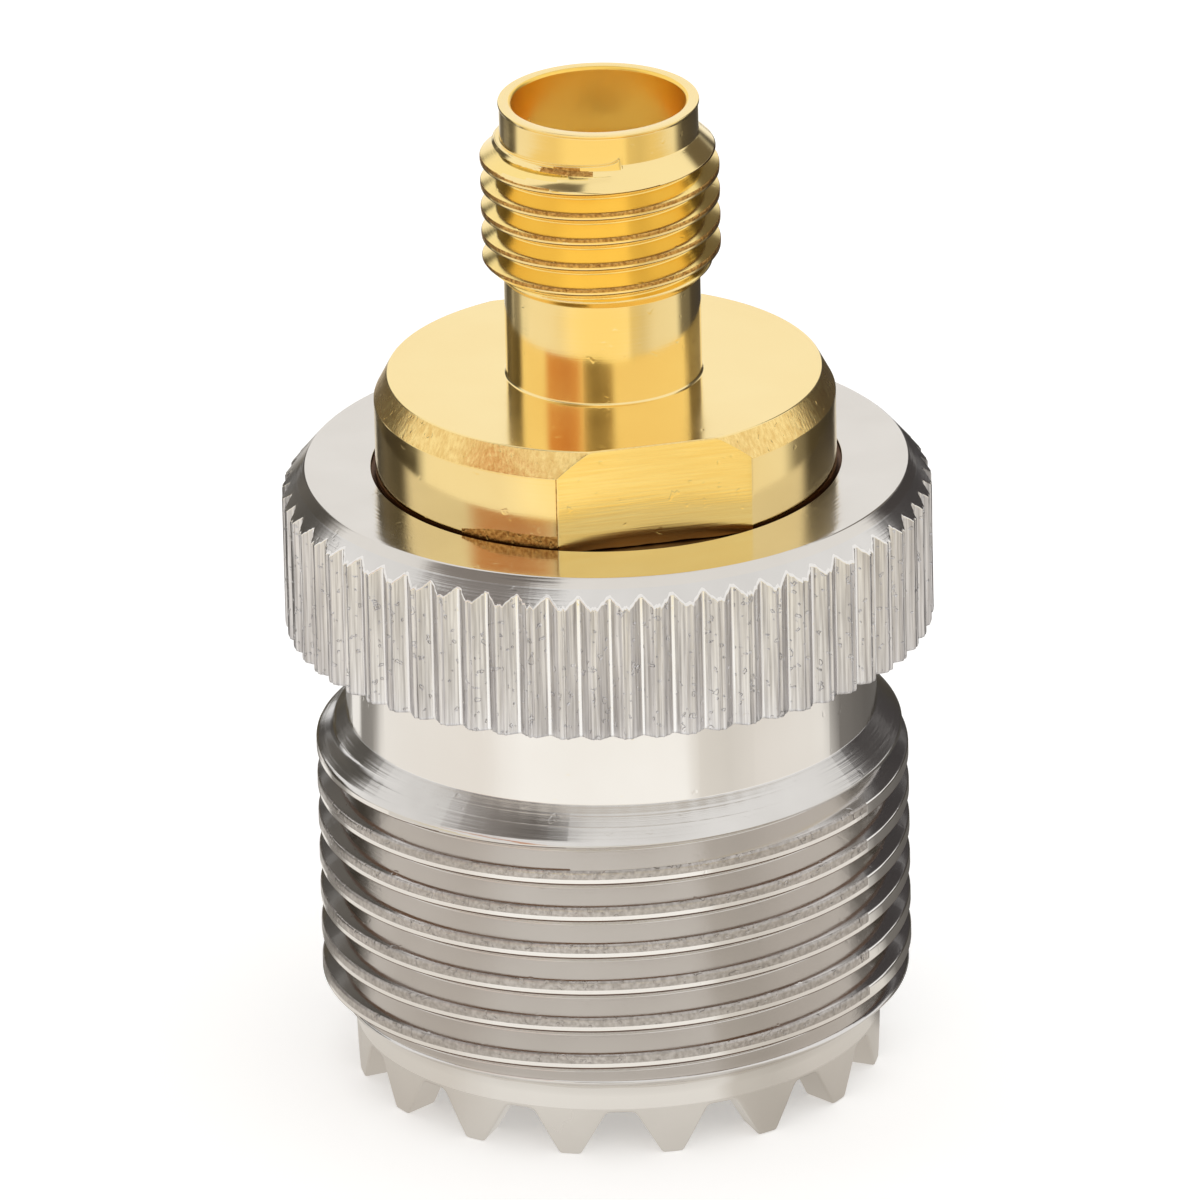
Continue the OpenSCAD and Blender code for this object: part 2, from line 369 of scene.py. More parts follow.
    def build(self, name: str, finishes: dict[Zone, Material]) -> Object:
        """Makes the object, in metres, with normals weighted by the area of the faces.

        Args:
            name: Name of the piece.
            finishes: Material of each zone that the piece has.

        Returns:
            The new object, linked to the scene.
        """
        slot_of = np.zeros(len(Zone), int)
        for slot, zone in enumerate(finishes):
            slot_of[zone] = slot
        points = np.concatenate(self.points) * MM
        weighted = np.zeros_like(points)
        faces: list[list[int]] = []
        zones: list[int] = []
        for corners, kinds in self.faces:
            place = points[corners]
            across = place[:, 2] - place[:, 0]
            other = place[:, -1] - place[:, 1] if corners.shape[1] == 4 else place[:, 1] - place[:, 0]
            area = np.cross(across, other) * (1 if corners.shape[1] == 4 else -1)
            for k in range(corners.shape[1]):
                for axis in range(3):
                    weighted[:, axis] += np.bincount(corners[:, k], area[:, axis], len(points))
            faces.extend(corners.tolist())
            zones.extend(slot_of[kinds].tolist())
        mesh = bpy.data.meshes.new(name)
        mesh.from_pydata(points.tolist(), [], faces)
        mesh.polygons.foreach_set("material_index", zones)
        mesh.polygons.foreach_set("use_smooth", [True] * len(faces))
        for finish in finishes.values():
            mesh.materials.append(finish)
        mesh.validate()
        length = np.linalg.norm(weighted, axis=1, keepdims=True)
        mesh.normals_split_custom_set_from_vertices((weighted / np.where(length > 0, length, 1)).tolist())
        log.info("%s: %d faces", name, len(faces))
        return put(name, mesh)


# Finishes


class Grain(Enum):
    """Direction of the marks that a tool left."""

    ROUND = "round the axis"
    ALONG = "along the axis"
    LEVEL = "level, across a flat"
    FROSTED = "no direction"


def round_axis(tree: Tree, place: Socket) -> Node:
    """Turns a place to its distance from the axis and its height, so that a noise there draws rings.

    Args:
        tree: Node tree that gets the nodes.
        place: Socket of the place.

    Returns:
        Node that gives the distance as X and the height as Y.
    """
    parts = add_node(tree, "SeparateXYZ", {0: place})
    flat = add_node(tree, "CombineXYZ", {0: parts.outputs[0], 1: parts.outputs[1]})
    reach = add_node(tree, "VectorMath", {0: flat}, operation="LENGTH")
    return add_node(tree, "CombineXYZ", {0: reach.outputs["Value"], 1: parts.outputs[2]})


@dataclass(frozen=True)
class PlatedMetal:
    """Bright plate over machined metal: the plate follows the tool marks, which stay visible under the shine.

    Attributes:
        name: Name of the material.
        tint: sRGB hex of the bare plate.
        shade: sRGB hex where the plate is thin or hazed.
        roughness: Lowest and highest roughness.
        grain: Direction of the tool marks.
        mark_mm: Spacing of the tool marks.
        mark_depth_mm: Depth of the tool marks.
        pit_mm: Spacing of small pits and nicks.
        pit_depth_mm: Depth of the pits.
        pit_share: Noise level above which a pit opens: lower makes more pits.
        streaked: How far the marks, rather than soft haze, carry the shade.
    """

    name: str
    tint: str
    shade: str
    roughness: tuple[float, float]
    grain: Grain
    mark_mm: float = 0.06
    mark_depth_mm: float = 0.0006
    pit_mm: float = 0.35
    pit_depth_mm: float = 0.002
    pit_share: float = 0.66
    streaked: float = 0.0

    def material(self) -> Material:
        """Makes the node material.

        Returns:
            The material.
        """
        material, tree, place = new_material(self.name)
        # Noise turns over about once a unit, so a scale of 1 / spacing gives marks of that spacing.
        fine = 1 / (self.mark_mm * MM)
        long = fine * 0.03
        stretch = {Grain.ALONG: (fine, fine, long), Grain.LEVEL: (long, long, fine)}
        marks = round_axis(tree, place) if self.grain is Grain.ROUND else place
        scale = stretch.get(self.grain, (fine, fine, fine))
        spread = add_node(tree, "VectorMath", {0: marks, 1: scale}, operation="MULTIPLY")
        lines = add_node(tree, "TexNoise", {"Vector": spread, "Scale": 1.0, "Detail": 3.0})
        haze = add_node(tree, "TexNoise", {"Vector": place, "Scale": HAZE_PER_MM / MM, "Detail": 4.0})
        pits = add_node(tree, "TexNoise", {"Vector": place, "Scale": 1 / (self.pit_mm * MM), "Detail": 2.0})
        pocks = add_node(
            tree, "MapRange", {0: pits, 1: self.pit_share, 2: self.pit_share + 0.08, 3: 0.0, 4: 1.0},
            interpolation_type="SMOOTHSTEP",
        )
        bump = add_node(
            tree, "Bump", {"Height": lines, "Strength": 1.0, "Distance": self.mark_depth_mm * MM}
        )
        holes = {"Height": pocks, "Normal": bump, "Strength": 1.0, "Distance": self.pit_depth_mm * MM}
        dents = add_node(tree, "Bump", holes, invert=True)
        low, high = self.roughness
        rough = add_node(tree, "MapRange", {0: haze, 1: 0.3, 2: 0.7, 3: low, 4: high})
        streaks = add_node(tree, "MapRange", {0: lines, 1: 0.35, 2: 0.65, 3: 0.0, 4: 1.0})
        share = add_node(tree, "Mix", {0: self.streaked, 2: haze, 3: streaks})
        colour = add_node(
            tree, "Mix", {0: share, 6: linear(self.tint), 7: linear(self.shade)}, data_type="RGBA"
        )
        shader = add_node(
            tree, "BsdfPrincipled",
            {"Base Color": colour.outputs[2], "Roughness": rough, "Normal": dents, "Metallic": 1.0},
        )
        add_node(tree, "OutputMaterial", {"Surface": shader})
        return material


@dataclass(frozen=True)
class TurnedPTFE:
    """PTFE turned from rod: waxy white, soft light inside, faint rings from the tool."""

    name: str = "turned_ptfe"
    tint: str = "F4F3EE"
    ring_mm: float = 0.08
    ring_depth_mm: float = 0.002
    glow_mm: float = 0.4

    def material(self) -> Material:
        """Makes the node material.

        Returns:
            The material.
        """
        material, tree, place = new_material(self.name)
        lines = add_node(
            tree, "TexNoise",
            {"Vector": round_axis(tree, place), "Scale": 1 / (self.ring_mm * MM), "Detail": 2.0},
        )
        bump = add_node(tree, "Bump", {"Height": lines, "Strength": 1.0, "Distance": self.ring_depth_mm * MM})
        rough = add_node(tree, "MapRange", {0: lines, 1: 0.3, 2: 0.7, 3: 0.42, 4: 0.55})
        shader = add_node(tree, "BsdfPrincipled", {
            "Base Color": linear(self.tint), "Roughness": rough, "Normal": bump, "IOR": 1.35,
            "Subsurface Weight": 0.3, "Subsurface Radius": (self.glow_mm * MM,) * 3, "Subsurface Scale": 1.0,
        })
        add_node(tree, "OutputMaterial", {"Surface": shader})
        return material


NICKEL = {
    # Bright nickel on turned brass: pale, slightly warm, soft rings from the tool.
    Zone.TURNED: PlatedMetal("nickel_plated_turned_brass", "EEEBE7", "E6E2DD", (0.08, 0.15), Grain.ROUND),
    # On a chamfer the feed of the tool left plain rings.
    Zone.FACED: PlatedMetal(
        "nickel_plated_faced_brass", "E6E3DF", "CBC7C2", (0.12, 0.24), Grain.ROUND,
        mark_mm=0.09, mark_depth_mm=0.008,
    ),
    # In the thread the light bounces between the flanks and comes out a warm grey.
    Zone.THREADED: PlatedMetal(
        "nickel_plated_cut_thread", "DEDBD8", "D8D4D0", (0.10, 0.20), Grain.ROUND,
        mark_mm=0.07, mark_depth_mm=0.0012,
    ),
    # Torn upper edge of the crests: satin with pocks and small bright nicks.
    Zone.WORN: PlatedMetal(
        "nickel_plated_torn_crest", "CAC4BF", "979089", (0.22, 0.38), Grain.FROSTED,
        mark_mm=0.11, mark_depth_mm=0.009, pit_mm=0.2, pit_depth_mm=0.022, pit_share=0.6, streaked=0.5,
    ),
    # Milled teeth: fine milling frost, pale and nearly matt.
    Zone.MILLED: PlatedMetal(
        "nickel_plated_milled_brass", "E4E0DB", "D2CDC7", (0.26, 0.36), Grain.FROSTED,
        mark_mm=0.08, mark_depth_mm=0.002,
    ),
    # Cut knurling: torn along the axis, so the shine is satin.
    Zone.KNURLED: PlatedMetal(
        "nickel_plated_knurled_brass", "EBEAEC", "B0ADAE", (0.28, 0.42), Grain.ALONG,
        mark_mm=0.07, mark_depth_mm=0.008, pit_mm=0.2, pit_depth_mm=0.025, pit_share=0.62, streaked=0.75,
    ),
    # Bottom of a knurl groove: pressed smooth by the wheel, and painted lighter than the knurl as a
    # highlight, so it draws a bright line.
    Zone.BURNISHED_PAINTED_HIGHLIGHT: PlatedMetal(
        "nickel_rolled_painted_highlight", "F6F6F7", "EEEDEE", (0.12, 0.2), Grain.ALONG,
        mark_mm=0.05, mark_depth_mm=0.001,
    ),
    # Painted shade under the thread's crests, and painted shade with polishing dirt in the joint under the
    # disc: dark, dull and brown.
    Zone.PAINTED_SHADE_AND_DIRT: PlatedMetal(
        "nickel_painted_shade_and_dirt", "7A5638", "463020", (0.35, 0.5), Grain.FROSTED,
        mark_mm=0.08, mark_depth_mm=0.006,
    ),
    # The flange's top: nickel painted greyer as a shade, with a fine haze.
    Zone.TOP_PAINTED_SHADE: PlatedMetal(
        "nickel_top_painted_shade", "E3DED7", "D3CDC5", (0.09, 0.18), Grain.ROUND,
        mark_mm=0.09, mark_depth_mm=0.003,
    ),
}
GOLD = {
    # Bright gold on turned brass: yellow mirror, redder where it reflects itself.
    Zone.TURNED: PlatedMetal("gold_plated_turned_brass", "FCE5A6", "F8DC98", (0.09, 0.17), Grain.ROUND),
    # Chamfer of the disc: streaks left across the tool's path.
    Zone.FACED: PlatedMetal(
        "gold_plated_faced_brass", "FFE298", "E6BE72", (0.16, 0.3), Grain.ALONG,
        mark_mm=0.09, mark_depth_mm=0.007, pit_mm=0.2, pit_depth_mm=0.008, streaked=0.7,
    ),
    # Cut thread: the same mirror with finer rings.
    Zone.THREADED: PlatedMetal(
        "gold_plated_cut_thread", "FFE597", "F7D682", (0.10, 0.2), Grain.ROUND,
        mark_mm=0.05, mark_depth_mm=0.0014,
    ),
    # Torn crests, brown places on the ledge and a flat's corner, and the brown painted reflection on the
    # disc's side: satin gold, browner.
    Zone.WORN: PlatedMetal(
        "gold_torn_crest_and_painted_reflection", "E8B868", "94602A", (0.24, 0.38), Grain.FROSTED,
        mark_mm=0.08, mark_depth_mm=0.011, pit_mm=0.14, pit_depth_mm=0.02, pit_share=0.58, streaked=0.7,
    ),
    # Milled wrench flats: level scratches, slightly dull.
    Zone.MILLED: PlatedMetal(
        "gold_plated_milled_brass", "FFE596", "FAD67E", (0.16, 0.26), Grain.LEVEL,
        mark_mm=0.05, mark_depth_mm=0.0025, pit_mm=0.3, pit_depth_mm=0.004, streaked=0.6,
    ),
    # Reamed mouth: the gold is painted more orange, standing for the light that goes round inside it.
    Zone.BORED: PlatedMetal(
        "gold_reamed_painted_bounce_light", "FFDD74", "FFCE60", (0.24, 0.36), Grain.ALONG, mark_mm=0.1
    ),
    # Painted shade under the thread's crests, and painted shade with polishing dirt at the disc's foot, brown
    # on gold.
    Zone.PAINTED_SHADE_AND_DIRT: PlatedMetal(
        "gold_painted_shade_and_dirt", "8A5A28", "4A2C12", (0.35, 0.5), Grain.FROSTED,
        mark_mm=0.08, mark_depth_mm=0.006,
    ),
}
# Gold on the sprung contacts: thinner and slightly duller.
GOLD_CONTACT = PlatedMetal("gold_plated_contact_alloy", "FCDD96", "F0CF86", (0.14, 0.22), Grain.ROUND)


# Threads


@dataclass(frozen=True)
class Thread:
    """A right-hand 60 degree thread.

    Attributes:
        pitch: Pitch.
        crest: Radius of the crests.
        depth: Depth of the groove.
        land: Width of the crest's flat.
        low_edge: Rounding of the crest's lower edge.
        high_edge: Rounding of the crest's upper edge.
        start: Height of a crest's middle at the front.
        longest: Longest chord in the profile.
        torn_from: Height from the crest's middle at which its torn upper part starts.
        darkened: Depth of the painted shade under the crest's lower edge.
        run_out: Rounding where the thread meets its end chamfers.
        root_edge: Rounding in the root.
    """

    pitch: float
    crest: float
    depth: float
    land: float
    low_edge: float
    high_edge: float
    start: float
    longest: float
    torn_from: float
    darkened: float
    run_out: float
    root_edge: float = 0.03

    def profile(self) -> Array:
        """Traces one pitch.

        Returns:
            Points as rows of radius and height, from the middle of one crest to the middle of the next.
        """
        lean = math.tan(math.radians(30))
        run = self.depth * lean
        half = self.land / 2
        root = self.crest - self.depth
        path = [
            (self.crest, 0, 0),
            (self.crest, half, self.high_edge),
            (root, half + run, self.root_edge),
            (root, self.pitch - half - run, self.root_edge),
            (self.crest - self.darkened, self.pitch - half - self.darkened * lean, 0),
            (self.crest, self.pitch - half, self.low_edge),
            (self.crest, self.pitch + self.torn_from, 0),
            (self.crest, self.pitch, 0),
        ]
        return refined(rounded(path), self.longest)

    def zones(self, shape: Array) -> Array:
        """Sorts the rows of the profile: polished crest, its torn upper part, painted shade under it, and the
        flanks.

        Args:
            shape: The profile.

        Returns:
            Zone number of each row.
        """
        near = 1e-6
        run = np.diff(shape, axis=0)
        # Lean of each row from the axis: 60 degrees on the upper flank, -60 on the lower one.
        lean = np.degrees(np.arctan2(-run[:, 0], run[:, 1]))
        radius, height = shape[:-1].T
        outer = radius > self.crest - self.depth / 3
        torn = outer & (lean < 57) & (height < self.pitch / 2)
        torn |= outer & (height >= self.pitch + self.torn_from - near)
        # Rows just under the crest's lower edge take the dark finish, a painted shade.
        under = (radius >= self.crest - self.darkened - near) & (lean < -25)
        crest = outer & (np.abs(lean) <= 55) & ~torn & ~under
        return np.select([under, torn, crest], [Zone.PAINTED_SHADE_AND_DIRT, Zone.WORN, Zone.TURNED], Zone.THREADED)


# Large shell


@dataclass
class LargeShell:
    """Nickel shell: toothed crown, large thread, neck and knurled flange, bored right through."""

    node: str = "uhf_shell"
    crown_r: float = 7.0
    bore_r: float = 6.0
    tooth_count: int = 16
    tooth_h: float = 1.22
    tip_w: float = 0.58
    flank_deg: float = 30.0
    floor_r: float = 0.22
    tip_r: float = 0.12
    tooth_wear: float = 0.04
    edge: float = 0.06
    cove_z: float = 1.70
    cove_r: float = 0.5
    neck_r: float = 7.05
    neck_z: float = 10.12
    flange_z: float = 12.61
    knurl_count: int = 64
    knurl_depth: float = 0.24
    knurl_top: float = 0.7
    knurl_rows: int = 7
    knurl_low: float = 0.10
    burr: float = 0.012
    lip: float = 0.03
    chamfer_w: float = 0.6
    bright_turn: float = 96.0
    bright_half: float = 38.0
    seat_r: float = 6.22
    seat_z: float = 16.80
    # Inner edge of the dark ring on the seat's floor: painted shade with polishing dirt.
    shade_and_dirt_r: float = 5.4
    spigot_r: float = 4.52
    shoulder_z: float = 12.6
    thread: Thread = field(default_factory=lambda: Thread(
        pitch=25.4 / 24, crest=7.88, depth=0.6, land=0.34, low_edge=0.06, high_edge=0.22, start=9.45,
        longest=0.15, torn_from=-0.045, darkened=0.14, run_out=0.06,
    ))
    seed: int = 11

    def __post_init__(self) -> None:
        """Reads the outer sizes from the frame."""
        low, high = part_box(self.node)
        self.flange_r = (high.y - low.y) / 2 / MM
        self.top_z = high.z / MM
        self.random = np.random.default_rng(self.seed)
        self.skin = Skin()

    def notch(self) -> tuple[Array, Array]:
        """Traces half a notch of the crown, from its middle to the middle of the next tooth.

        Returns:
            Points as rows of sideways place and height, and at each the direction into the metal.
        """
        flank = math.radians(self.flank_deg)
        half = (math.pi * 2 * self.crown_r / self.tooth_count - self.tip_w) / 2
        floor = np.array([
            half - (self.tooth_h - self.floor_r) * math.tan(flank) - self.floor_r / math.cos(flank),
            self.tooth_h - self.floor_r,
        ])
        tip = np.array([half - self.tip_r * math.tan(flank) + self.tip_r / math.cos(flank), self.tip_r])
        at_floor, at_tip = (
            np.stack([np.cos(a), np.sin(a)], axis=-1)
            for a in (np.linspace(math.pi / 2, flank, 4), np.linspace(flank, math.pi / 2, 3))
        )
        bottom, crest = floor + self.floor_r * at_floor, tip - self.tip_r * at_tip
        side = [bottom[-1] * (1 - t) + crest[0] * t for t in (1 / 3, 2 / 3)]
        points = np.concatenate([[(0, self.tooth_h)], bottom, side, crest, [(math.nan, 0)]])
        return points, np.concatenate([[(0, 1)], at_floor, at_floor[[-1, -1]], at_tip, [(0, 1)]])

    def crown_ring(self, radius: float, inset: float) -> tuple[Array, Array]:
        """Lays the crown's outline round the axis.

        Args:
            radius: Radius of the ring.
            inset: How far the outline is drawn into the metal there.

        Returns:
            Angles and heights of the ring's columns.
        """
        points, inward = self.notch()
        moved = points + inset * inward
        turn = np.arcsin(np.where(np.isnan(moved[:, 0]), 0, moved[:, 0]) / radius)
        turn[-1] = math.pi / self.tooth_count
        angles = np.concatenate([turn, -turn[1:-1][::-1] + TURN / self.tooth_count])
        heights = np.concatenate([moved[:, 1], moved[1:-1, 1][::-1]])
        every = TURN / self.tooth_count * np.arange(self.tooth_count)[:, None]
        sink = self.wear[:, None] * np.clip(1 - heights[None, :] / self.tooth_h, 0, 1)
        # The second half of each tile is the near half of the next notch's tooth.
        return (angles[None, :] + every).ravel(), (heights[None, :] + sink).ravel()

    def crown(self) -> Array:
        """Builds the toothed end.

        Returns:
            The ring on the outer wall above the teeth.
        """
        worn = self.random.uniform(0, self.tooth_wear, self.tooth_count)
        self.wear = np.where(np.arange(self.tooth_count) % 3 == 0, 0, worn)
        edge = self.edge
        soft = edge * (1 - math.sqrt(0.5))
        steps = [
            (self.bore_r, edge), (self.bore_r + soft, soft), (self.bore_r + edge, 0),
            ((self.bore_r + self.crown_r) / 2, 0), (self.crown_r - edge, 0), (self.crown_r - soft, soft),
            (self.crown_r, edge),
        ]
        self.skin.zone = Zone.MILLED
        rings = []
        for radius, inset in steps:
            self.angles, heights = self.crown_ring(radius, inset)
            rings.append(self.skin.add(radius, self.angles, heights))
        self.bore_angles, _ = self.crown_ring(*steps[0])
        for first, second in zip(rings, rings[1:]):
            self.skin.band(first, second)
        self.mouth = rings[0]
        top = self.tooth_h + edge + 0.05
        path = [(self.crown_r, heights * (1 - t) + top * t) for t in (0.5, 1)]
        return self.skin.lathe(rings[-1], path, self.angles)

    def knurl_outline(self) -> tuple[Array, Array, Array]:
        """Traces the knurl.

        Returns:
            Angles of the columns, radii with a row for each level, and the zone after each column.
        """
        # Place in one groove's pitch, and depth there as a share: bottom, flank, lip, dip between two lips.
        places = np.array([
            0, 0.045, 0.075, 0.14, 0.19, 0.25, 0.31, 0.36, 0.395, 0.43, 0.465, 0.5,
            0.535, 0.57, 0.605, 0.64, 0.69, 0.75, 0.81, 0.86, 0.925, 0.955,
        ])
        depth = np.array([
            1, 0.98, 0.9, 0.72, 0.58, 0.42, 0.26, 0.1, 0.0, 0.07, 0.15, 0.12,
            0.16, 0.06, 0.0, 0.1, 0.26, 0.42, 0.58, 0.72, 0.9, 0.98,
        ])
        count = self.knurl_count
        # Unevenness of a column's place in the pitch, of its depth as a share, and along the axis in mm.
        place_off, depth_off, wave_off = 0.007, 0.045, 0.0035
        shift = self.random.normal(0, place_off, (count, len(places)))
        shift[:, 0] *= 0.5
        angles = ((np.arange(count)[:, None] + places[None, :] + shift) * TURN / count).ravel()
        scale = self.random.uniform(0.92, 1.0, (count, 1))
        grain = self.random.normal(0, depth_off, (count, len(places)))
        grain[:, [0, 1, -1]] *= 0.1
        cut = np.clip(depth[None, :] * scale + grain * (depth[None, :] > 0.01), 0, 1.02)
        cut = cut.ravel() * self.knurl_depth
        wave = self.random.normal(0, wave_off, (self.knurl_rows, count * len(places)))
        kinds = np.full(len(places), Zone.KNURLED)
        # The groove bottoms take the smoother nickel with its painted highlight.
        kinds[[0, -1]] = Zone.BURNISHED_PAINTED_HIGHLIGHT
        return angles, self.flange_r - np.clip(cut[None, :] + wave, 0, None), np.tile(kinds, count)

    def flange(self, under: Array) -> Array:
        """Builds the knurled flange with its chamfer and top.

        Args:
            under: Ring on the flange's underside, on the shell's own columns.

        Returns:
            The ring at the inner edge of the top, on the shell's own columns.
        """
        skin, lip = self.skin, self.lip
        angles, radii, kinds = self.knurl_outline()
        order = np.argsort(angles)
        angles, radii, kinds = angles[order], radii[:, order], kinds[order]
        slope = self.knurl_top / self.chamfer_w
        ends = self.top_z - self.knurl_top + (self.flange_r - radii[-1]) * slope
        # The lower edge is broken: three rings draw in from the knurl towards the underside.
        under_in, low_in, edge_in = 0.16, 0.08, 0.022
        ring = skin.add(radii[0] - under_in, angles, self.flange_z)
        skin.stitch(under, self.angles, ring, angles)
        skin.zone = Zone.KNURLED
        low = self.flange_z + self.knurl_low + np.abs(self.random.normal(0, self.burr, len(angles)))
        foot = [(radii[0] - low_in, self.flange_z), (radii[0] - edge_in, self.flange_z + lip)]
        ring = skin.lathe(ring, foot, angles)
        rise = [low + (ends - lip - low) * t for t in np.linspace(0, 1, self.knurl_rows)]
        ring = skin.lathe(ring, list(zip(radii, rise)), angles, [kinds] * self.knurl_rows)
        skin.zone = Zone.TURNED
        bevel = [(radii[-1] - back, ends + (back - 0.006) * slope) for back in (0.006, lip, 2 * lip)]
        ring = skin.lathe(ring, bevel, angles)
        inner = self.flange_r - self.chamfer_w
        rim = [(inner + 0.2, self.top_z - 0.2 * slope, 0), (inner, self.top_z, 0.08)]
        path = rounded(rim + [(inner - 0.3, self.top_z, 0)], 2)
        skin.zone = Zone.FACED
        ring = skin.lathe(ring, path[:1], angles)
        # The flange's top takes the greyer nickel, a painted shade.
        skin.zone = Zone.TOP_PAINTED_SHADE
        ring = skin.lathe(ring, path[1:], angles)
        around = skin.add(inner - 0.6, self.angles, self.top_z)
        skin.stitch(ring, angles, around, self.angles)
        return around

    def build(self, finishes: dict[Zone, Material]) -> Object:
        """Builds the whole shell.

        Args:
            finishes: Nickel finish of each zone.

        Returns:
            The piece.
        """
        skin, thread = self.skin, self.thread
        ring = self.crown()
        skin.zone = Zone.TURNED
        low_r = thread.crest - thread.depth
        high_r = low_r - 0.01
        cove = [(self.crown_r, self.cove_z)]
        for a in np.linspace(0, math.acos((self.crown_r + self.cove_r - low_r) / self.cove_r), 8)[1:]:
            out = self.cove_r * (1 - math.cos(a))
            cove.append((self.crown_r + out, self.cove_z + self.cove_r * math.sin(a)))
        low_z = cove[-1][1]
        high_z = self.neck_z - (high_r - self.neck_r)
        chamfer_z = self.neck_z - thread.crest + self.neck_r
        ring = skin.lathe(ring, cove, self.angles)
        upper = skin.add(high_r, self.angles, high_z)
        blank = np.array([
            (low_z, low_r), (low_z + 0.025, low_r + 0.10), (low_z + 0.42, thread.crest),
            (chamfer_z, thread.crest), (high_z, high_r),
        ]).T
        right = np.abs(signed(self.angles) - self.bright_turn) < self.bright_half

        def zone(height: Array, proud: Array, cut: Array, own: Array) -> Array:
            """Gives the zone, with the end chamfers apart and the crest polished on the right."""
            cut = cut | (height > self.neck_z - 0.4)
            cut |= (height > chamfer_z - 0.12) & (proud > thread.crest - 0.2)
            end = np.where(height > self.flange_z / 2, Zone.FACED, Zone.THREADED)
            return np.where(cut, end, np.where(right & (own == Zone.WORN), Zone.TURNED, own))

        skin.helix(ring, upper, self.angles, thread, blank, zone, self.neck_z - 0.5)
        neck = refined(rounded([
            (high_r, high_z, 0), (self.neck_r, self.neck_z, 0.03), (self.neck_r, self.flange_z, 0.05),
            (self.neck_r + 0.6, self.flange_z, 0),
        ]), 0.8)[1:]
        ring = upper
        for kind, part in ((Zone.FACED, neck[:, 1] < self.neck_z), (Zone.TURNED, neck[:, 1] >= self.neck_z)):
            skin.zone = kind
            ring = skin.lathe(ring, neck[part], self.angles)
        ring = self.flange(ring)
        mouth = [(self.seat_r + 0.02, self.top_z), (self.seat_r, self.top_z - 0.02)]
        ring = skin.lathe(ring, mouth, self.bore_angles)
        # The seat's floor under the disc's edge gets painted shade, with polishing dirt in the joint.
        skin.zone = Zone.PAINTED_SHADE_AND_DIRT
        ring = skin.lathe(ring, [(self.seat_r, self.seat_z), (self.shade_and_dirt_r, self.seat_z)], self.bore_angles)
        skin.zone = Zone.TURNED
        seat = rounded([
            (self.shade_and_dirt_r, self.seat_z, 0), (self.spigot_r, self.seat_z, 0.05),
            (self.spigot_r, self.shoulder_z, 0), (self.bore_r, self.shoulder_z, 0),
            (self.bore_r, self.tooth_h + 0.2, 0),
        ])
        ring = skin.lathe(ring, seat[1:], self.bore_angles)
        skin.band(ring, self.mouth)
        return skin.build("large_shell", finishes)


# Small shell


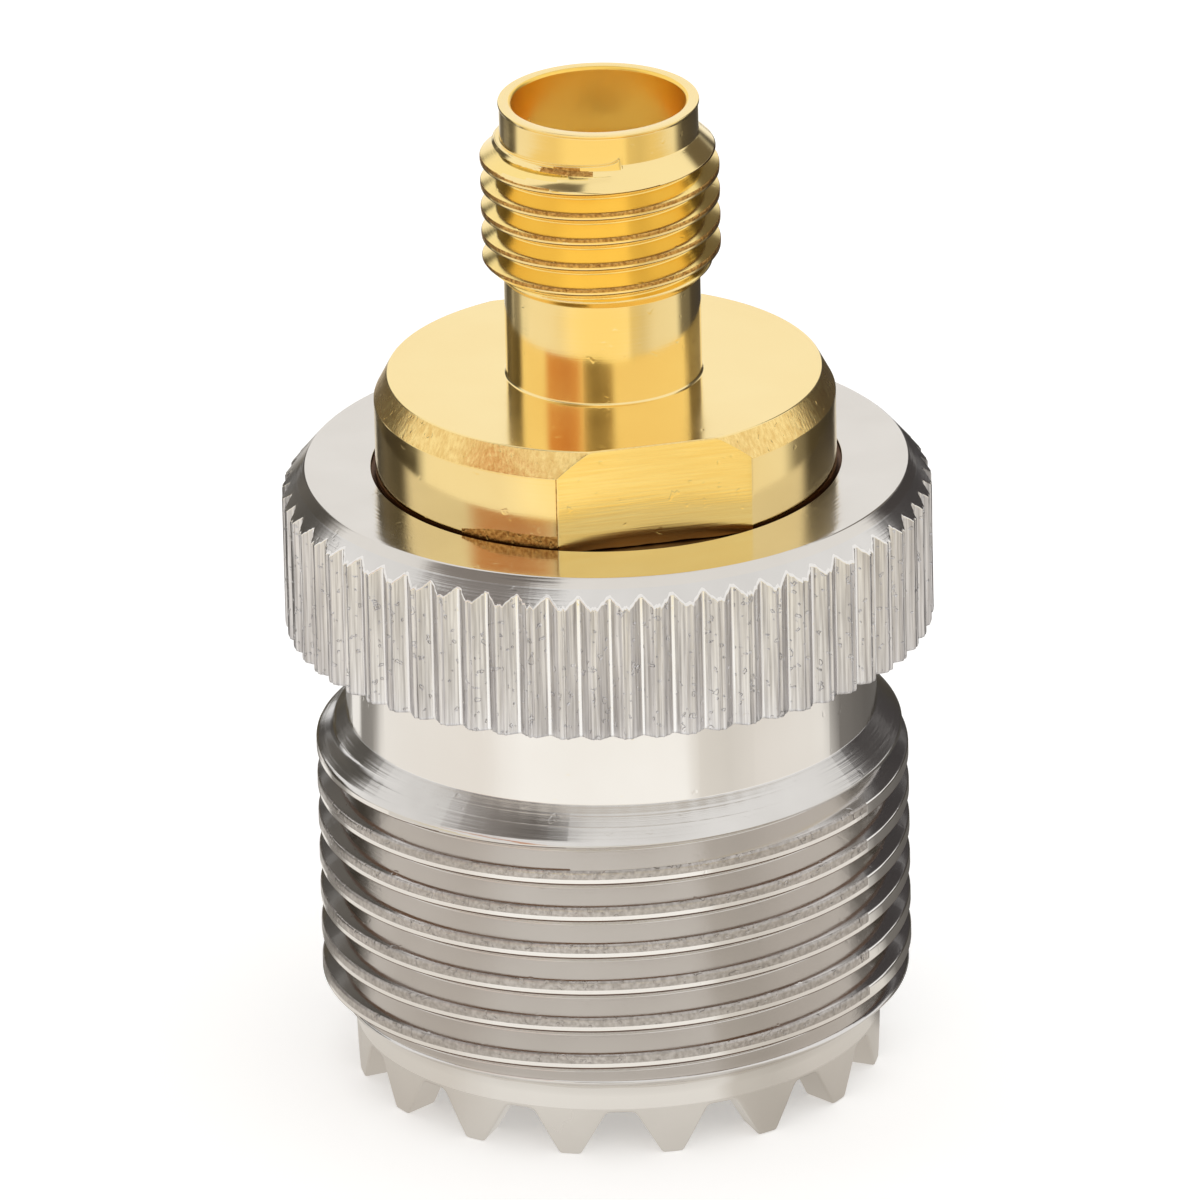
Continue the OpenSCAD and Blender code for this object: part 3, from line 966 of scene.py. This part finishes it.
@dataclass
class SmallShell:
    """Gold shell: pressed spigot, disc with two wrench flats, neck, small thread, collar and mouth."""

    node: str = "sma_shell"
    bottom_z: float = 12.6
    spigot_r: float = 4.5
    insulator_r: float = 2.07
    disc_z: float = 16.80
    disc_r: float = 6.1
    disc_top_z: float = 19.61
    disc_in: float = 5.4
    chamfer_w: float = 0.35
    chamfer_h: float = 0.67
    flat_half: float = 5.5
    flat_turn: float = 13.2
    nudge: float = 0.3
    neck_foot_r: float = 3.4
    neck_r: float = 2.59
    foot: float = 0.07
    thread_z: float = 22.37
    thread_end_z: float = 26.16
    cone_sum: float = 28.98
    collar_r: float = 2.62
    collar_z: float = 26.72
    rim_r: float = 2.65
    bore_r: float = 2.3
    bore_z: float = 25.34
    mouth: float = 0.07
    ledge_r: float = 2.715
    ledge_z: float = 26.43
    cone_rows: tuple[float, float] = (26.24, 26.32)
    ledge_end: float = 12.4
    ledge_fade: tuple[float, float] = (95.0, 150.0)
    ledge_brown: tuple[float, float] = (-34.0, -4.0)
    # Turns of the brown painted reflection on the disc's lower side.
    painted_reflection: tuple[float, float] = (-39.0, -13.5)
    # Least height and unevenness of the painted shade and dirt at the disc's foot, below a flat and below the
    # round side.
    dark_foot_flat: tuple[float, float] = (0.03, 0.04)
    dark_foot_round: tuple[float, float] = (0.18, 0.06)
    # Height above the foot where the painted reflection starts, the height that it adds, and the turns over
    # which it fades in.
    reflection_z: float = 0.32
    reflection_h: float = 0.26
    reflection_fade: float = 9.0
    seed: int = 5
    thread: Thread = field(default_factory=lambda: Thread(
        pitch=25.4 / 36, crest=3.16, depth=0.44, land=0.15, low_edge=0.04, high_edge=0.14, start=25.87,
        longest=0.1, torn_from=-0.01, darkened=0.09, run_out=0.045,
    ))

    def __post_init__(self) -> None:
        """Reads the height of the rim from the frame."""
        self.rim_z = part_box(self.node)[1].z / MM
        self.skin = Skin()
        self.corner = math.degrees(math.acos(self.flat_half / self.disc_r))
        self.angles = self.columns()
        self.turn = signed(self.angles)
        uneven = np.random.default_rng(self.seed).normal(0, 1, len(self.angles))
        for _ in range(3):
            uneven = (uneven + np.roll(uneven, 1) + np.roll(uneven, -1)) / 3
        self.uneven = np.abs(uneven)

    def columns(self) -> Array:
        """Spaces the columns so that the corners of the wrench flats fall on some.

        Returns:
            Angles from 0 to a turn.
        """
        longest = 1.25
        shoulder = math.degrees(math.acos(self.flat_half / (self.disc_r - self.chamfer_w)))
        offsets = [self.corner + nudge for nudge in (-self.nudge, 0, self.nudge)] + [shoulder]
        middles = (self.flat_turn, self.flat_turn + 180)
        keys = sorted((middle + side * k) % 360 for middle in middles for side in (-1, 1) for k in offsets)
        angles = []
        for a, b in zip(keys, keys[1:] + [keys[0] + 360]):
            parts = max(1, round((b - a) / longest))
            angles += [a + (b - a) * i / parts for i in range(parts)]
        return np.radians(sorted(a % 360 for a in angles))

    def disc(self, ring: Array) -> Array:
        """Builds the disc with its chamfer and flats, the painted shade and dirt round its foot and the brown
        painted reflection on its side.

        Args:
            ring: Ring on the disc's underside.

        Returns:
            Ring on the disc's top, near the neck.
        """
        low, high = self.disc_z, self.disc_top_z
        away = np.radians(np.abs((np.degrees(self.angles) - self.flat_turn + 90) % 180 - 90))
        side = np.minimum(self.disc_r, self.flat_half / np.cos(away))
        corner = side - np.where(np.isclose(away, math.radians(self.corner)), 0.006, 0)
        slope = self.chamfer_h / self.chamfer_w
        start = np.minimum(high - self.chamfer_h + (self.disc_r - side) * slope, high - 0.03)
        top_r = np.minimum(self.disc_r - self.chamfer_w, corner - 0.03)
        length = np.hypot(corner - top_r, high - start)
        soft = np.minimum(0.03, length * 0.3)
        way_r, way_z = (top_r - corner) / length, (high - start) / length
        on_flat = side < self.disc_r - 1e-6
        dark_foot = [least + more * self.uneven for least, more in (self.dark_foot_flat, self.dark_foot_round)]
        # The brown painted reflection rises as it fades in from its left end.
        fade = np.clip((self.turn - self.painted_reflection[0]) / self.reflection_fade, 0, 1)
        reflection_rise = self.reflection_h * fade * (0.7 + 0.3 * self.uneven)
        # The foot's rows take the dark finish: painted shade, with dirt in the joint.
        foot = [(corner - 0.06, low), (corner - 0.02, low + 0.02), (corner, low + np.where(on_flat, *dark_foot))]
        wall = [
            (corner, low + self.reflection_z + reflection_rise), (corner, low + 0.9), (corner, start - soft),
            (corner - soft * 0.08, start - soft * 0.1),
        ]
        chamfer = [
            (corner + way_r * soft, start + way_z * soft), ((corner + top_r) / 2, (start + high) / 2),
            (top_r - way_r * soft, high - way_z * soft),
        ]
        top = [
            (top_r - soft * 0.25, high - soft * 0.15), (top_r - soft * 1.4, high), (5.2, high), (4.2, high),
            (self.neck_foot_r, high),
        ]
        flat = np.where(on_flat & np.roll(on_flat, -1), Zone.MILLED, Zone.TURNED)
        # A fine dark line marks the left corner of the front flat.
        flat[np.isclose(self.turn, self.flat_turn - self.corner - self.nudge)] = Zone.WORN
        # Over its turns the disc's lower side takes the worn gold as a brown painted reflection.
        painted_reflection = np.where((self.turn > self.painted_reflection[0]) & (self.turn < self.painted_reflection[1]), Zone.WORN, flat)
        darkened, faced, turned = (np.full(len(side), kind) for kind in (Zone.PAINTED_SHADE_AND_DIRT, Zone.FACED, Zone.TURNED))
        zones = [darkened] * len(foot) + [painted_reflection] + [flat] * 3 + [faced] * len(chamfer) + [turned] * len(top)
        return self.skin.lathe(ring, foot + wall + chamfer + top, self.angles, zones)

    def ledge(self) -> list[tuple[Array, Array]]:
        """Traces the broken edge that the thread's first cut left under the collar.

        Returns:
            Radii and heights of the rows from the cone to the collar.
        """
        behind = (math.radians(self.ledge_end) - self.angles) % TURN
        lift = 0.2 * np.exp(-behind / math.radians(3.5))
        top = self.ledge_z - self.thread.pitch * behind / TURN + lift
        begin, end = (math.radians(a) for a in self.ledge_fade)
        share = 1 - np.clip((behind - begin) / (end - begin), 0, 1)
        wall = np.minimum(self.cone_sum - self.ledge_r, top - 0.02)
        outer = np.maximum(self.ledge_r, self.cone_sum - top)
        raised = [
            (self.cone_sum - wall, wall), (outer, wall + 0.012), (outer, top - 0.02),
            (outer - 0.004, top - 0.006), (outer - 0.02, top), (self.collar_r + 0.012, top),
            (self.collar_r, top + 0.012),
        ]
        last = self.cone_sum - self.collar_r
        plain = [(self.cone_sum - z, z) for z in np.linspace(*self.cone_rows, 5)]
        plain += [(self.collar_r + 0.008, last - 0.008), (self.collar_r, last + 0.012)]
        return [
            (one_r * share + two_r * (1 - share), one_z * share + two_z * (1 - share))
            for (one_r, one_z), (two_r, two_z) in zip(raised, plain)
        ]

    def build(self, finishes: dict[Zone, Material]) -> Object:
        """Builds the whole shell.

        Args:
            finishes: Gold finish of each zone.

        Returns:
            The piece.
        """
        skin, thread = self.skin, self.thread
        first = skin.add(self.insulator_r, self.angles, self.bottom_z)
        spigot = rounded([
            (self.insulator_r, self.bottom_z, 0), (self.spigot_r, self.bottom_z, 0.1),
            (self.spigot_r, self.disc_z, 0.03), (self.disc_in, self.disc_z, 0),
        ])
        ring = self.disc(skin.lathe(first, spigot[1:], self.angles))
        low_r = thread.crest - thread.depth - 0.01
        low_z = self.thread_z + low_r - self.neck_r
        high_z = self.thread_end_z
        neck = rounded([
            (self.neck_foot_r, self.disc_top_z, 0), (self.neck_r, self.disc_top_z, self.foot),
            (self.neck_r, self.thread_z, 0.05), (low_r, low_z, 0),
        ])
        ring = skin.lathe(ring, refined(neck, 0.4)[1:], self.angles)
        upper = skin.add(self.cone_sum - high_z, self.angles, high_z)
        blank = np.array([
            (low_z, low_r), (self.thread_z + thread.crest - self.neck_r, thread.crest),
            (self.cone_sum - thread.crest, thread.crest), (high_z, self.cone_sum - high_z),
        ]).T

        def zone(height: Array, proud: Array, cut: Array, own: Array) -> Array:
            """Gives the zone, with the end chamfers apart."""
            return np.where(cut, Zone.TURNED, own)

        skin.helix(ring, upper, self.angles, thread, blank, zone)
        darkened = (self.turn > self.ledge_brown[0]) & (self.turn < self.ledge_brown[1])
        away = np.abs(self.turn - np.mean(self.ledge_brown))
        rows = self.ledge()
        # The brown patch on the ledge's first rows narrows upwards.
        zones = [
            np.where(darkened & (away < 16 - 4 * place) & (place < 3), Zone.WORN, Zone.TURNED)
            for place in range(len(rows))
        ]
        ring = skin.lathe(upper, rows, self.angles, zones)
        collar = rounded([
            (self.collar_r, self.collar_z, 0), (self.collar_r, self.rim_z - 0.12, 0.05),
            (self.rim_r, self.rim_z - 0.06, 0.03), (self.rim_r, self.rim_z, 0.025),
            (self.bore_r + self.mouth, self.rim_z, 0.02),
        ])
        ring = skin.lathe(ring, refined(collar, 0.5), self.angles)
        # The mouth's walls take the gold with painted bounce light.
        skin.zone = Zone.BORED
        bore = rounded([
            (self.bore_r + self.mouth, self.rim_z, 0), (self.bore_r, self.rim_z - self.mouth, 0.03),
            (self.bore_r, self.bore_z, 0.03), (self.insulator_r, self.bore_z, 0.02),
            (self.insulator_r, self.bottom_z + 0.5, 0),
        ])
        ring = skin.lathe(ring, refined(bore, 0.5)[1:], self.angles)
        skin.band(ring, first)
        return skin.build("small_shell", finishes)


# Studio


@dataclass
class Studio:
    """Camera at the photograph's angle, pale floor and a soft white tent with a few dark gaps round it."""

    elevation: float = 22.98
    distance: float = 500.0
    target: tuple[float, float, float] = (-0.247, 0.0, 12.98)
    roll: float = -1.29
    sensor: float = 36.0
    lens: float = 566.04
    floor_r: float = 150.0
    floor_level: float = 1.1
    floor_lift: float = 0.40
    paper: str = "E9E8E6"
    # Tones of the floor in the shine of the metal: by distance from the axis, where the foot darkens it; by
    # distance from a point behind the object, so that it turns warm far out in front; and by azimuth.
    # Azimuth counts from the camera's side (0) to the right (+), elevation from the horizon up.
    floor_near: tuple = ((0.0, "D0CECB"), (7.0, "DEDCD9"), (14.0, "F4F3F1"), (24.0, "FFFFFF"))
    far_y: float = 40.0
    floor_far: tuple = ((0.0, "FFFFFF"), (84.0, "FFFDF8"), (93.0, "FBE8B0"), (150.0, "FBEBBC"))
    floor_turns: tuple = (
        (-180, "F4F2EF"), (-168, "F4F2EF"), (-160, "95928E"), (-143, "95928E"), (-139, "F2F0ED"),
        (-129, "F2F0ED"), (-126, "83807C"), (-114, "95928E"), (-107, "F0EEEB"), (-52, "EFECE9"),
        (-36, "FFFFFF"), (28, "FFFFFF"), (33, "E2DFDB"), (46, "DAD7D3"), (62, "E8E5E2"), (94, "ECEAE7"),
        (104, "7A7774"), (130, "64615E"), (166, "64615E"), (172, "F2F0ED"), (180, "F4F2EF"),
    )
    # Each strip of the tent: its upper elevation, the softness of that border, and its colour, or colours by
    # azimuth.
    strips: tuple = (
        (16.5, 2.0, "FFFFFF"),
        (27.0, 2.5, (
            (-76, "FFFFFF"), (-68, "D89E76"), (-45, "CA8A62"), (-33, "D89E76"), (-26, "F4E4D8"),
            (-21, "9E927F"), (-12, "7A6E58"), (0, "81755D"), (7, "9E927F"), (13, "FFFFFF"),
        )),
        (42.0, 3.0, "FFFFFF"),
        (57.0, 3.0, ((-89, "FFFFFF"), (-82, "928C88"), (-42, "928C88"), (-32, "FFFFFF"))),
        (70.0, 4.0, ((-89, "FFFFFF"), (-82, "827D78"), (-50, "706B67"), (-31, "605C59"), (-25, "FFFFFF"))),
        (90.0, 1.0, "FAF9F7"),
    )
    # Dark cards that hang behind the object: heights of the lower and upper edge, softness of the upper edge,
    # and tones by azimuth with the cover last. They are seen in the shine of the metal only.
    card_r: float = 30.0
    card_low_soft: float = 2.0
    card_parts: int = 24
    cards: tuple = (
        ("left_foot_card", 1.5, 10.0, 2.0, (
            (-164, "3E3B3800"), (-158, "4A443AFF"), (-140, "5C5444FF"), (-130, "3A342CFF"),
            (-101, "443E34FF"), (-93, "6A655C00"),
        )),
        ("left_low_card", 7.0, 16.0, 2.0, (
            (-151, "3E3B3800"), (-146, "4A4744FF"), (-138, "5E5B57FF"), (-130, "55524DFF"),
            (-125, "5E5A5500"),
        )),
        ("left_high_card", 14.0, 36.0, 3.0, (
            (-156, "3E3B3800"), (-150, "3E3B38FF"), (-143, "5E5B57FF"), (-134, "6E6A64FF"),
            (-118, "55524DFF"), (-113, "5E5A55FF"), (-105, "8E8A8500"),
        )),
        ("right_foot_card", 1.5, 10.0, 2.0, (
            (106, "4C484800"), (112, "4C463CFF"), (140, "3A3733FF"), (158, "4C463CFF"), (164, "423F3F00"),
        )),
        ("right_low_card", 7.0, 16.0, 2.0, (
            (118, "4C484800"), (124, "4C4848FF"), (160, "423F3FFF"), (166, "423F3F00"),
        )),
        ("right_high_card", 14.0, 33.0, 5.0, (
            (103, "4C484800"), (110, "4C4848FF"), (150, "423F3FFF"), (156, "423F3F00"),
        )),
        ("right_top_card", 30.0, 54.0, 5.0, (
            (112, "6A635A00"), (118, "6A635AFF"), (150, "6A635AFF"), (156, "6A635A00"),
        )),
    )

    def camera(self) -> Object:
        """Places the camera.

        Returns:
            The camera object.
        """
        data = bpy.data.cameras.new("camera")
        data.sensor_width = self.sensor
        data.lens = self.lens
        camera = put("camera", data)
        tilt = math.radians(self.elevation)
        away = Vector((0, -math.cos(tilt), math.sin(tilt))) * self.distance
        roll = Matrix.Rotation(math.radians(self.roll), 3, "Z")
        turn = Euler((math.pi / 2 - tilt, 0, 0)).to_matrix() @ roll
        camera.matrix_world = Matrix.Translation((Vector(self.target) + away) * MM) @ turn.to_4x4()
        bpy.context.scene.camera = camera
        return camera

    def floor(self) -> Object:
        """Lays the pale floor.

        Returns:
            The floor object.
        """
        mesh = bpy.data.meshes.new("floor")
        form = bmesh.new()
        bmesh.ops.create_circle(form, cap_ends=True, radius=self.floor_r * MM, segments=96)
        form.to_mesh(mesh)
        form.free()
        material, tree, place = new_material("pale_paper_sweep")
        paths = add_node(tree, "LightPath").outputs
        level = add_node(tree, "Math", {0: paths["Is Camera Ray"], 1: self.floor_lift}, operation="MULTIPLY")
        paper = add_node(tree, "BsdfDiffuse", {"Color": linear(self.paper)})
        plain = add_node(tree, "AddShader", {0: paper, 1: add_node(tree, "Emission", {"Strength": level})})
        moved = add_node(tree, "VectorMath", {0: place, 1: (0, self.far_y * MM, 0)}, operation="SUBTRACT")
        tone = self.rings(tree, place, self.floor_near)
        far = self.rings(tree, moved.outputs[0], self.floor_far)
        for other in (far, self.ramp(tree, self.azimuth(tree, place), self.floor_turns)):
            tones = {0: 1.0, 6: tone, 7: other}
            tone = add_node(tree, "Mix", tones, data_type="RGBA", blend_type="MULTIPLY").outputs[2]
        mirrored = add_node(tree, "Emission", {0: tone, 1: self.floor_level})
        shine = add_node(
            tree, "Math", {0: paths["Is Glossy Ray"], 1: paths["Is Transmission Ray"]}, operation="MAXIMUM"
        )
        both = add_node(tree, "MixShader", {0: shine, 1: plain, 2: mirrored})
        add_node(tree, "OutputMaterial", {"Surface": both})
        mesh.materials.append(material)
        floor = put("floor", mesh)
        return floor

    def ramp(
        self, tree: Tree, place: Socket, stops: Sequence, start: float = -180.0, end: float = 180.0
    ) -> Socket:
        """Adds a colour ramp.

        Args:
            tree: Node tree that gets it.
            place: Socket that gives the place, from 0 at the start to 1 at the end.
            stops: Place and sRGB hex of each stop.
            start: Start of the ramp, as the stops count it.
            end: Its end.

        Returns:
            The colour socket.
        """
        node = add_node(tree, "ValToRGB", {0: place})
        bar = node.color_ramp
        while len(bar.elements) < len(stops):
            bar.elements.new(0.5)
        for element, (at, code) in zip(bar.elements, stops):
            element.position = (at - start) / (end - start)
            element.color = linear(code)
        return node.outputs[0]

    def card(self, name: str, low: float, high: float, soft: float, stops: Sequence) -> Object:
        """Hangs a dark card, bent round the object's axis.

        Args:
            name: Name of the card.
            low: Height of its lower edge.
            high: Height of its upper edge.
            soft: Height over which the upper edge fades.
            stops: Azimuth and sRGB hex with cover of each tone.

        Returns:
            The card object.
        """
        count = self.card_parts
        turns = np.radians(np.linspace(stops[0][0], stops[-1][0], count + 1))
        ring = np.stack([np.sin(turns), -np.cos(turns)], axis=1) * self.card_r * MM
        points = [(x, y, z * MM) for z in (low, high) for x, y in ring]
        mesh = bpy.data.meshes.new(name)
        mesh.from_pydata(points, [], [(i, i + 1, i + count + 2, i + count + 1) for i in range(count)])
        material, tree, place = new_material(name + "_cloth")
        tone = self.ramp(tree, self.azimuth(tree, place), stops)
        rise = add_node(tree, "SeparateXYZ", {0: place}).outputs[2]
        cover = tone.node.outputs[1]
        for begin, end, seen in ((low, low + self.card_low_soft, 0.0), (high - soft, high, 1.0)):
            heights = {0: rise, 1: begin * MM, 2: end * MM, 3: seen, 4: 1.0 - seen}
            edge = add_node(tree, "MapRange", heights, interpolation_type="SMOOTHSTEP")
            cover = add_node(tree, "Math", {0: cover, 1: edge}, operation="MULTIPLY")
        cloth = add_node(tree, "Emission", {0: tone})
        both = add_node(tree, "MixShader", {0: cover, 1: add_node(tree, "BsdfTransparent"), 2: cloth})
        add_node(tree, "OutputMaterial", {"Surface": both})
        mesh.materials.append(material)
        card = put(name, mesh)
        card.visible_camera = card.visible_diffuse = card.visible_shadow = card.visible_transmission = False
        return card

    def azimuth(self, tree: Tree, place: Socket) -> Socket:
        """Measures the azimuth of a place, as a share of the turn with the camera's side in the middle.

        Args:
            tree: Node tree that gets the nodes.
            place: Socket of the place.

        Returns:
            The socket of the share.
        """
        parts = add_node(tree, "SeparateXYZ", {0: place})
        front = add_node(tree, "Math", {0: parts.outputs[1], 1: -1.0}, operation="MULTIPLY")
        turn = add_node(tree, "Math", {0: parts.outputs[0], 1: front}, operation="ARCTAN2")
        return add_node(tree, "MapRange", {0: turn, 1: -math.pi, 2: math.pi, 3: 0.0, 4: 1.0}).outputs[0]

    def rings(self, tree: Tree, place: Socket, stops: Sequence) -> Socket:
        """Adds tones by distance from the origin.

        Args:
            tree: Node tree that gets them.
            place: Socket of the place.
            stops: Distance in mm and sRGB hex of each tone.

        Returns:
            The colour socket.
        """
        last = stops[-1][0]
        reach = add_node(tree, "VectorMath", {0: place}, operation="LENGTH")
        share = add_node(tree, "MapRange", {0: reach.outputs["Value"], 1: 0.0, 2: last * MM})
        return self.ramp(tree, share.outputs[0], stops, 0.0, last)

    def world(self) -> bpy.types.World:
        """Hangs the tent as the world, white where the camera sees it.

        Returns:
            The world.
        """
        world = bpy.data.worlds.new("tent")
        bpy.context.scene.world = world
        world.use_nodes = True
        tree = world.node_tree
        tree.nodes.clear()
        way = add_node(tree, "TexCoord").outputs["Generated"]
        parts = add_node(tree, "SeparateXYZ", {0: way})
        rise = add_node(tree, "Math", {0: parts.outputs[2]}, operation="ARCSINE")
        share = self.azimuth(tree, way)
        border, border_soft, code = self.strips[0]
        tone = linear(code)
        for top, soft, stops in self.strips[1:]:
            low, high = math.radians(border - border_soft), math.radians(border + border_soft)
            above = add_node(tree, "MapRange", {0: rise, 1: low, 2: high}, interpolation_type="SMOOTHSTEP")
            strip = linear(stops) if isinstance(stops, str) else self.ramp(tree, share, stops)
            tone = add_node(tree, "Mix", {0: above, 6: tone, 7: strip}, data_type="RGBA").outputs[2]
            border, border_soft = top, soft
        around = add_node(tree, "Background", {0: tone})
        white = add_node(tree, "Background", {0: (1, 1, 1, 1)})
        seen = add_node(tree, "LightPath").outputs["Is Camera Ray"]
        both = add_node(tree, "MixShader", {0: seen, 1: around, 2: white})
        add_node(tree, "OutputWorld", {"Surface": both})
        return world


# The whole adapter


def stand_for(piece: Object, node: str) -> None:
    """Lets a piece stand for a node of the frame.

    Args:
        piece: The new piece.
        node: Name of the node.
    """
    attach(piece, BODY)
    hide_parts(node)
    log.info("%s stands for %s", piece.name, node)


def dress(node: str, finish: Material, soft: float) -> None:
    """Gives a node of the frame its finish and rounds its edges.

    Args:
        node: Name of the node.
        finish: Its material.
        soft: Width of the rounded edges, in mm.
    """
    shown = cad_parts[node]
    for place in shown.material_slots:
        place.material = finish
    bevel = shown.modifiers.new("soft_edges", "BEVEL")
    bevel.width = soft * MM
    bevel.segments = 2
    bevel.limit_method = "ANGLE"
    bevel.angle_limit = math.radians(50)
    bevel.harden_normals = True
    log.info("%s dressed with %s", node, finish.name)


def corners(box: tuple[Vector, Vector]) -> list[list[float]]:
    """Turns a box to plain lists."""
    return [list(box[0]), list(box[1])]


def main() -> None:
    """Builds and dresses the adapter and sets the studio."""
    logging.basicConfig(level=logging.INFO, format="%(name)s: %(message)s")
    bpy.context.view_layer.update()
    bpy.context.scene.view_settings.view_transform = "Standard"
    studio = Studio()
    studio.camera()
    nickel = {zone: finish.material() for zone, finish in NICKEL.items()}
    gold = {zone: finish.material() for zone, finish in GOLD.items()}
    stand_for(LargeShell().build(nickel), "uhf_shell")
    stand_for(SmallShell().build(gold), "sma_shell")
    contact, ptfe = GOLD_CONTACT.material(), TurnedPTFE().material()
    dress("sma_contact", contact, 0.02)
    dress("uhf_contact", contact, 0.05)
    dress("sma_insulator", ptfe, 0.03)
    dress("uhf_insulator", ptfe, 0.05)
    studio.floor()
    for card in studio.cards:
        studio.card(*card)
    studio.world()


if __name__ == "__main__":
    main()
